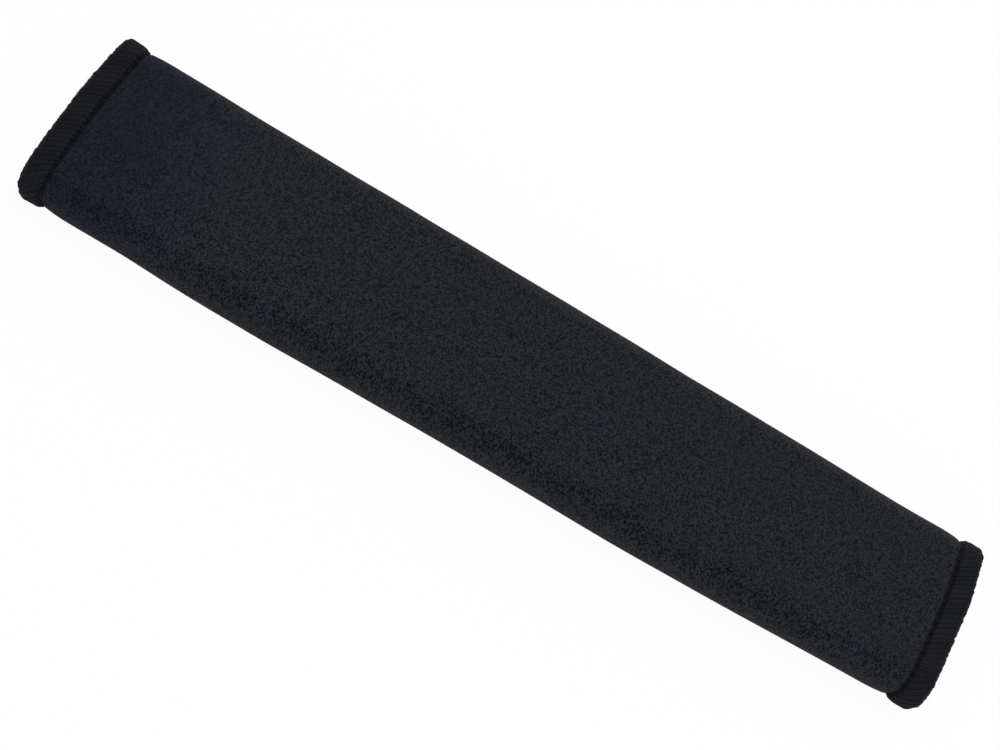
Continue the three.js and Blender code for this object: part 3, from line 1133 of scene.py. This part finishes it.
print("a backing has", BACKING_ROWS * BACKING_COLUMNS, "squares on each face")


# %% [markdown]
# ### A field of hooks or loops
#
# One filament is modelled with a few dozen faces, since there are thousands. Array copies it along
# the tape and then across it. Each copy gets its own angle, height and small stray.

# %% A field of hooks or loops
FIELD_END_MARGIN = 1
FIELD_STRAY = 0.12
FIELD_HEIGHT_JITTER = 0.08


def standing_field(path, section, pitch, turn):
    """A field of copies of one hook or loop. turn gives each copy's own angle."""
    field = straight_thread("standing_field", section, len(path))
    follow(field, np.array(path))
    one = len(field.data.vertices)
    along = int((TAPE_LENGTH - 2 * FIELD_END_MARGIN) / pitch)
    over = int((TAPE_WIDTH - 2 * SELVEDGE) / pitch)
    lay_row(field, along, (pitch, 0, 0))
    lay_row(field, over, (0, pitch, 0))
    flat = points_of(field)
    number = np.arange(len(flat)) // one
    column, row = number % along, number // along
    own = flat[:, :2] - np.stack([column, row], axis=1) * pitch
    stray = np.stack([np.sin(number * 12.9898), np.sin(number * 78.233)], axis=1)
    stray = FIELD_STRAY * pitch * stray
    angle = turn(row, number)
    flat[:, 0] = (column - (along - 1) / 2) * pitch + stray[:, 0]
    flat[:, 1] = (row - (over - 1) / 2) * pitch + stray[:, 1]
    flat[:, 0] += own[:, 0] * np.cos(angle) - own[:, 1] * np.sin(angle)
    flat[:, 1] += own[:, 0] * np.sin(angle) + own[:, 1] * np.cos(angle)
    flat[:, 2] = BACKING + flat[:, 2] * (1 + FIELD_HEIGHT_JITTER * np.sin(number * 37.719))
    place_points(field, flat)
    print(along * over, "copies in", over, "rows")
    return field


def finish_tape(name, node, material, field, lay):
    """Joins a field to its backing and lays the tape on its flap."""
    tape = woven_backing(name)
    start_clean()
    field.select_set(True)
    tape.select_set(True)
    bpy.context.view_layer.objects.active = tape
    bpy.ops.object.join()
    flat = points_of(tape)
    remember(tape, "tape_place", flat)
    place_points(tape, wrap(lay(flat)) * MM)
    finish_piece(tape, node, material)


# %% [markdown]
# ### Hooks
#
# Each hook is a bent filament of nylon, open at its tip so that a loop can slip in. The rows look
# to one side and to the other by turns, so that the tape holds both ways.

# %% Hook tape
HOOK = [
    (0, 0, -0.1), (0, 0, 0.2), (0.04, 0, 0.36), (0.17, 0, 0.42), (0.29, 0, 0.35), (0.31, 0, 0.24),
]
HOOK_PITCH = 1.0
HOOK_RADIUS = 0.07


def turn_hooks(row, number):
    return np.pi * (row % 2) + 0.2 * np.sin(number * 4.137)


def lay_on_outer_flap(flat):
    u = OUTER_FLAP_EDGE - OVERLAP_CENTRE - flat[:, 1]
    return np.stack([flat[:, 0], u, -(TAPE_SEAT + flat[:, 2])], axis=1)


hook_finish = tape_finish(
    "nylon_hook_tape", (0.0060, 0.0063, 0.0072, 1), (0.0130, 0.0136, 0.0152, 1), 0.45
)
hooks = standing_field(HOOK, round_section(HOOK_RADIUS, 4), HOOK_PITCH, turn_hooks)
finish_tape("hook_tape_with_hooks", "hook_tape", hook_finish, hooks, lay_on_outer_flap)

# %% [markdown]
# ### Loops
#
# A loop is a low arch of finer filament, with both of its feet in the backing. The loops are
# brushed at the mill, so they stand closer than the hooks, and every way round.

# %% Loop tape
LOOP_PITCH = 0.7
LOOP_RADIUS = 0.05
arch = np.linspace(-0.2 * np.pi, 1.2 * np.pi, 5)
LOOP = np.stack([0.26 * np.cos(arch), 0 * arch, 0.1 + 0.2 * np.sin(arch)], axis=1)


def turn_loops(row, number):
    return 2 * np.pi * np.sin(number * 12.9898 + row)


def lay_on_inner_flap(flat):
    u = SHEET_WIDTH - (flat[:, 1] + OVERLAP_CENTRE - INNER_FLAP_EDGE)
    return np.stack([flat[:, 0], u, TAPE_SEAT + flat[:, 2]], axis=1)


loop_finish = tape_finish(
    "nylon_loop_tape", (0.0070, 0.0074, 0.0086, 1), (0.0160, 0.0168, 0.0190, 1), 0.15
)
loops = standing_field(LOOP, round_section(LOOP_RADIUS, 3), LOOP_PITCH, turn_loops)
finish_tape("loop_tape_with_loops", "loop_tape", loop_finish, loops, lay_on_inner_flap)

# %% [markdown]
# ## Stage, light and camera
#
# The sleeve lies on plain white paper in a light tent. More light would whiten the paper, but it
# would wash out the black cloth. So the paper and the world glow for the camera, and the cloth is
# lit at a plain level.

# %% Paper and world
PAPER_GLOW = 0.95
PAPER_GLOW_IN_GLOSS = 0.2
TENT_STRENGTH = 0.55


def paper_finish():
    paper = Finish("white_paper", Roughness=0.9, Specular_IOR_Level=0.1)
    paper.shader.inputs["Base Color"].default_value = (0.82, 0.82, 0.82, 1)
    glow = paper.node("ShaderNodeEmission", {"Color": (1, 1, 1, 1)})
    seen = paper.node("ShaderNodeLightPath", output="Is Camera Ray")
    mirrored = paper.node("ShaderNodeLightPath", output="Is Glossy Ray")
    share = seen * PAPER_GLOW + mirrored * PAPER_GLOW_IN_GLOSS
    plain = Wire(paper, paper.shader.outputs[0])
    mixed = paper.node("ShaderNodeMixShader", {0: share, 1: plain, 2: glow})
    paper.join(mixed, paper.tree.nodes["Material Output"].inputs["Surface"])
    return paper.material


floor = flat_grid("paper_floor", 8, 8, size=8, place=(0, 0, -0.0001))
bpy.ops.object.transform_apply(location=True, rotation=True, scale=True)
floor.data.materials.append(paper_finish())

world = bpy.data.worlds.new("light_tent")
bpy.context.scene.world = world
world.use_nodes = True
background = world.node_tree.nodes["Background"]
background.inputs["Color"].default_value = (1, 1, 1, 1)
seen_by = world.node_tree.nodes.new("ShaderNodeLightPath")
brightness = world.node_tree.nodes.new("ShaderNodeMapRange")
brightness.inputs["To Min"].default_value = TENT_STRENGTH
world.node_tree.links.new(seen_by.outputs["Is Camera Ray"], brightness.inputs["Value"])
world.node_tree.links.new(brightness.outputs[0], background.inputs["Strength"])
print("stage", floor.name, world.name)

# %% [markdown]
# ### Lights
#
# A big soft light hangs overhead, and two long ones stand behind and in front. They are large for
# the size of the sleeve, so its shadow is faint and its folds shade off softly.

# %% Lights
def soft_light(name, place, size, power):
    """An area light of the given width and height in metres, aimed at the sleeve."""
    start_clean()
    bpy.ops.object.light_add(type="AREA", location=place)
    light = bpy.context.object
    light.name = name
    light.data.shape = "RECTANGLE"
    light.data.size, light.data.size_y = size
    light.data.energy = power
    light.rotation_euler = (-Vector(place)).to_track_quat("-Z", "Y").to_euler()
    print(name, power, "W")


soft_light("overhead_light", (0.15, 0.2, 1.1), (0.9, 0.6), 6)
soft_light("far_light", (0.1, 1.1, 0.5), (1.4, 0.5), 4)
soft_light("near_light", (0.1, -1.0, 0.45), (1.4, 0.5), 5)

# %% [markdown]
# ### Camera
#
# The camera stands in front of the near fold, looking down, and is rolled so that the sleeve runs
# across the frame. Angles are in degrees, lengths in millimetres, and the focal length in pixels of
# a frame 1000 wide.

# %% Camera
ELEVATION = 59.573
AZIMUTH = -1.576
ROLL = 31.955
DISTANCE = 478.87
FOCAL_PIXELS = 1957
FRAME_PIXELS = 1000
SENSOR_WIDTH = 36
AIM = np.array([-2.337, -1.962, SLEEVE_THICKNESS / 2])


def photo_camera():
    rise, turn, roll = map(math.radians, (ELEVATION, AZIMUTH, ROLL))
    level = math.cos(rise)
    back = np.array([math.sin(turn) * level, -math.cos(turn) * level, math.sin(rise)])
    right = np.array([math.cos(turn), math.sin(turn), 0])
    up = np.cross(back, right)
    x_axis = math.cos(roll) * right + math.sin(roll) * up
    y_axis = math.cos(roll) * up - math.sin(roll) * right
    start_clean()
    bpy.ops.object.camera_add()
    camera = bpy.context.object
    camera.name = "photo_camera"
    place = (AIM + back * DISTANCE) * MM
    axes = np.stack([x_axis, y_axis, back], axis=1).tolist()
    camera.matrix_world = Matrix(
        [[*row, spot] for row, spot in zip(axes, place)] + [[0, 0, 0, 1]]
    )
    camera.data.sensor_width = SENSOR_WIDTH
    camera.data.lens = SENSOR_WIDTH * FOCAL_PIXELS / FRAME_PIXELS
    camera.data.clip_start = 0.01
    camera.data.clip_end = 20
    return camera


bpy.context.scene.camera = photo_camera()
bpy.context.scene.view_settings.view_transform = "Standard"
print("lens", round(bpy.context.scene.camera.data.lens, 1), "mm")

# %% [markdown]
# ### The last step
#
# The visual model keeps the size of the packed one. The last call brings the scene up to date.

# %% Update the scene
bpy.context.view_layer.update()
